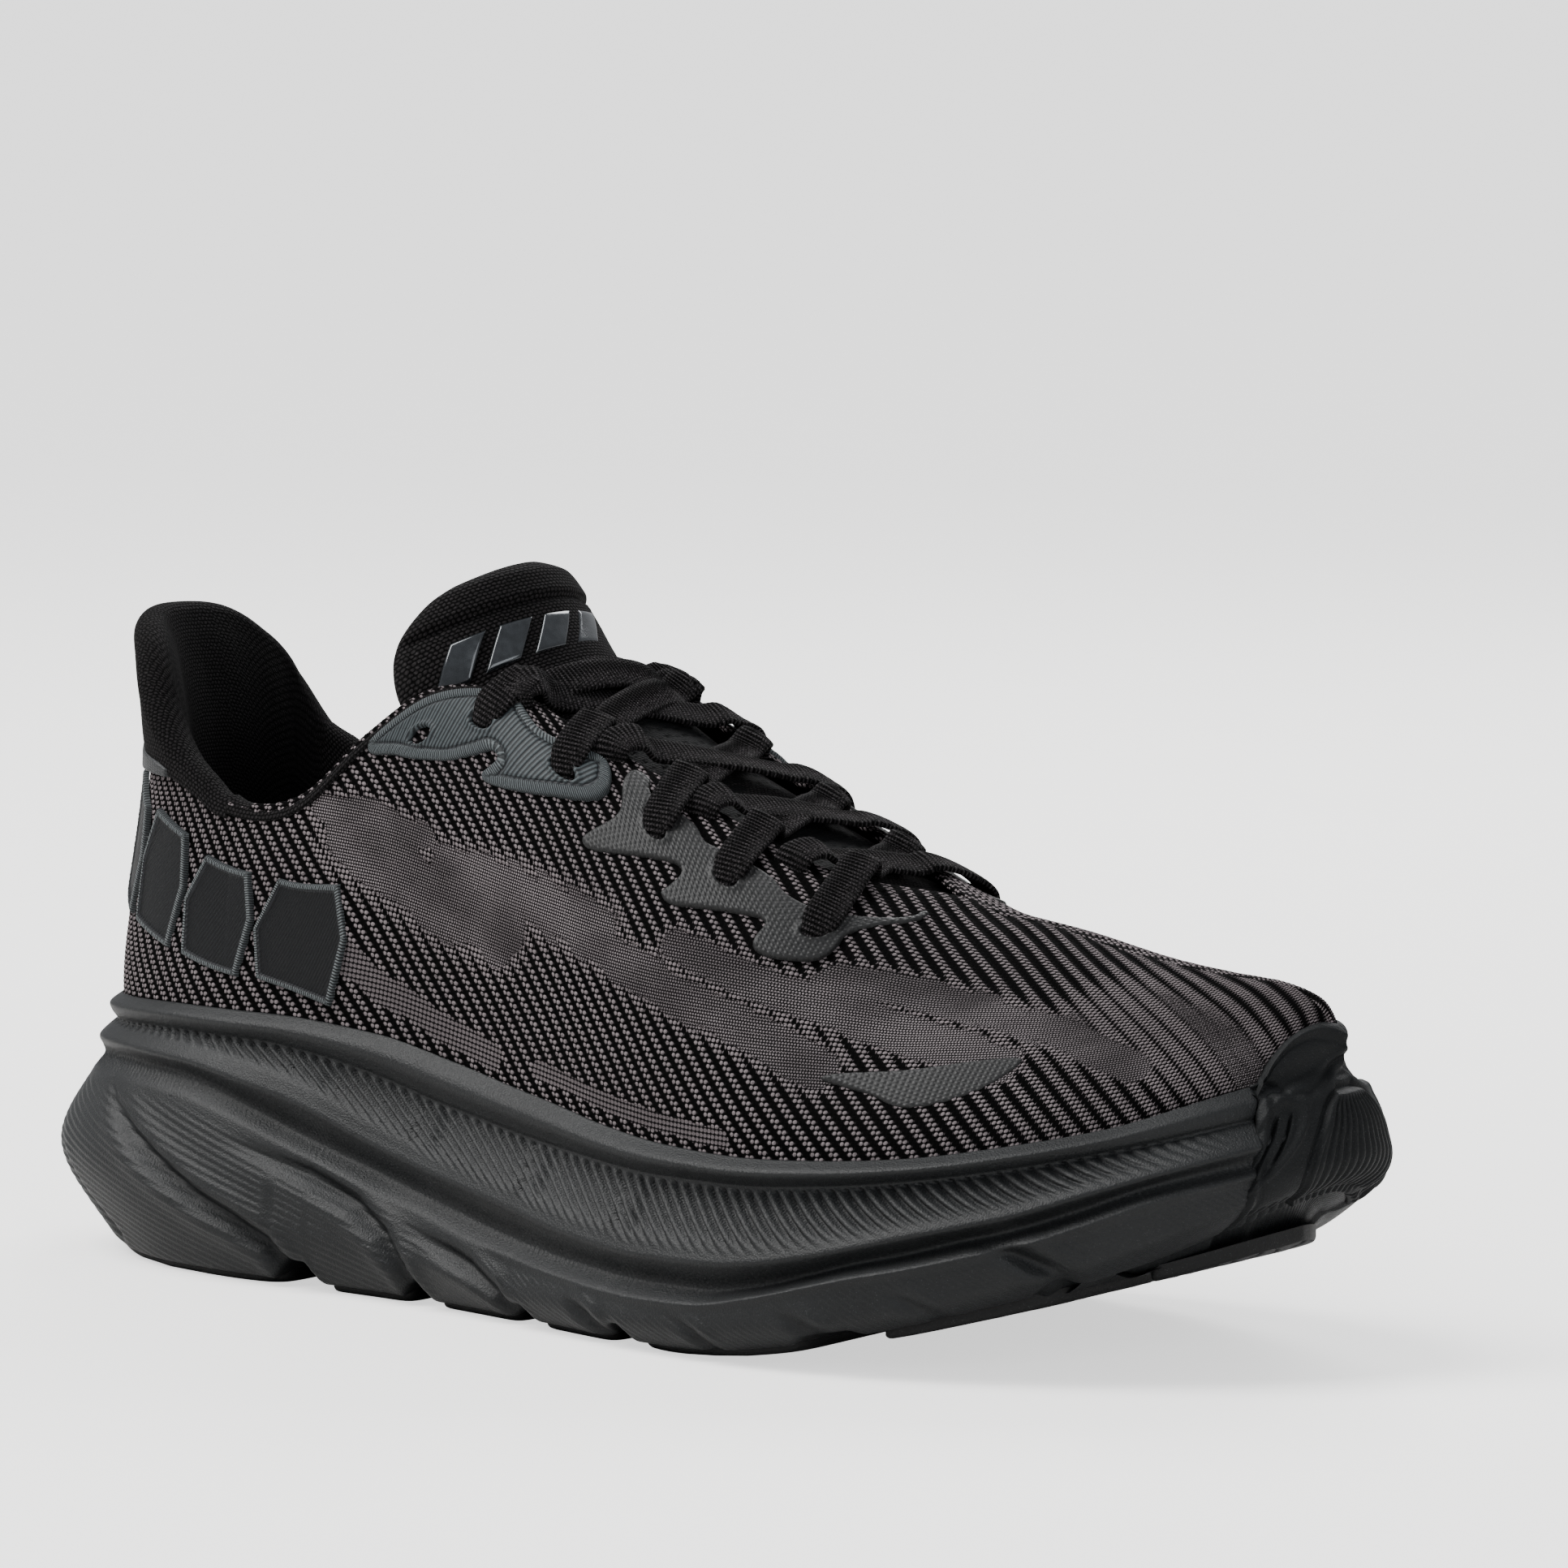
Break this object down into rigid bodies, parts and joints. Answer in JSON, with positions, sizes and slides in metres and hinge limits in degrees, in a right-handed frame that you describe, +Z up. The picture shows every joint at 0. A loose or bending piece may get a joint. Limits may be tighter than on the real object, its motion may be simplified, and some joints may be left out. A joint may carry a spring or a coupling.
{
  "type": "running shoe",
  "caption": "Low-cut cushioned running shoe with a thick rockered foam sole, knit upper, flat laces, padded tongue and flared heel tab.",
  "frame": {"origin": "middle of the shoe's footprint box, on the ground", "axes": "+X from the heel towards the toe, +Y towards the big-toe side (this is a right shoe), +Z up from the ground"},
  "size_m": [0.3012, 0.1133, 0.1425],
  "materials": {
    "midsole_foam": "matte moulded foam",
    "outsole_rubber": "matte rubber",
    "toe_rubber": "satin rubber",
    "board": "felted board",
    "sockliner_fabric": "brushed fabric on foam",
    "knit": "engineered knit, two tones",
    "stiffener": "thermoplastic sheet",
    "padding": "soft foam",
    "lining_fabric": "spacer mesh",
    "embroidery": "satin stitch",
    "film": "matte welded film",
    "gloss_print": "gloss print",
    "lace": "flat ribbed lace"
  },
  "bodies": {
    "rear": {"collar_binding_lateral": "lining_fabric", "collar_binding_medial": "lining_fabric", "collar_foam_lateral": "padding", "collar_foam_medial": "padding", "collar_lining_lateral": "lining_fabric", "collar_lining_medial": "lining_fabric", "eyestay_embroidery_lateral": "embroidery", "eyestay_embroidery_medial": "embroidery", "eyestay_film_lateral": "film", "eyestay_film_medial": "film", "forefoot_overlay": "film", "heel_counter": "stiffener", "heel_mark_1": "embroidery", "heel_mark_2": "embroidery", "heel_mark_3": "embroidery", "heel_mark_4": "embroidery", "heel_strip": "film", "knit_upper_flex_zone": "knit", "knit_upper_rear": "knit", "lace_lateral_1": "lace", "lace_lateral_2": "lace", "lace_lateral_3": "lace", "lace_lateral_4": "lace", "lace_lateral_5": "lace", "lace_medial_1": "lace", "lace_medial_2": "lace", "lace_medial_3": "lace", "lace_medial_4": "lace", "lace_medial_5": "lace", "midsole_flex_zone": "midsole_foam", "midsole_rear": "midsole_foam", "outsole_arch_lateral": "outsole_rubber", "outsole_arch_medial": "outsole_rubber", "outsole_ball_lateral": "outsole_rubber", "outsole_ball_medial": "outsole_rubber", "outsole_forefoot_lateral": "outsole_rubber", "outsole_forefoot_medial": "outsole_rubber", "outsole_heel_lateral": "outsole_rubber", "outsole_heel_medial": "outsole_rubber", "outsole_mid_lateral": "outsole_rubber", "outsole_mid_medial": "outsole_rubber", "strobel_board_rear": "board", "tongue_cover_lower": "lining_fabric", "tongue_film_panel": "film", "tongue_foam_lower": "padding"},
    "forefoot": {"midsole_forefoot": "midsole_foam", "outsole_toe_lateral": "outsole_rubber", "outsole_toe_medial": "outsole_rubber", "outsole_toe_tip": "outsole_rubber", "toe_bumper": "toe_rubber", "strobel_board_front": "board", "sockliner_front": "sockliner_fabric", "knit_upper_toe_box": "knit", "toe_puff": "stiffener"},
    "tongue_end": {"tongue_cover_top": "lining_fabric", "tongue_foam_top": "padding", "tongue_mark": "gloss_print"},
    "heel_tab": {"heel_tab_cover": "lining_fabric", "heel_tab_foam": "padding"},
    "insole": {"sockliner_rear": "sockliner_fabric"}
  },
  "joints": [
    {"name": "toe_flex", "type": "hinge", "parent": "rear", "child": "forefoot", "pos_m": [0.07557, 0, 0.016], "axis": [0, -1, 0], "range_deg": [0, 25], "deforming": ["midsole_flex_zone", "knit_upper_flex_zone"]},
    {"name": "tongue_fold", "type": "hinge", "parent": "rear", "child": "tongue_end", "pos_m": [-0.02083, 0, 0.1196], "axis": [0, 1, 0], "range_deg": [-6, 12]},
    {"name": "heel_tab_fold", "type": "hinge", "parent": "rear", "child": "heel_tab", "pos_m": [-0.13293, 0, 0.102], "axis": [0, -1, 0], "range_deg": [0, 12]},
    {"name": "insole_lift", "type": "hinge", "parent": "rear", "child": "insole", "pos_m": [0.06877, 0, 0.0293], "axis": [0, 1, 0], "range_deg": [0, 8]}
  ]
}
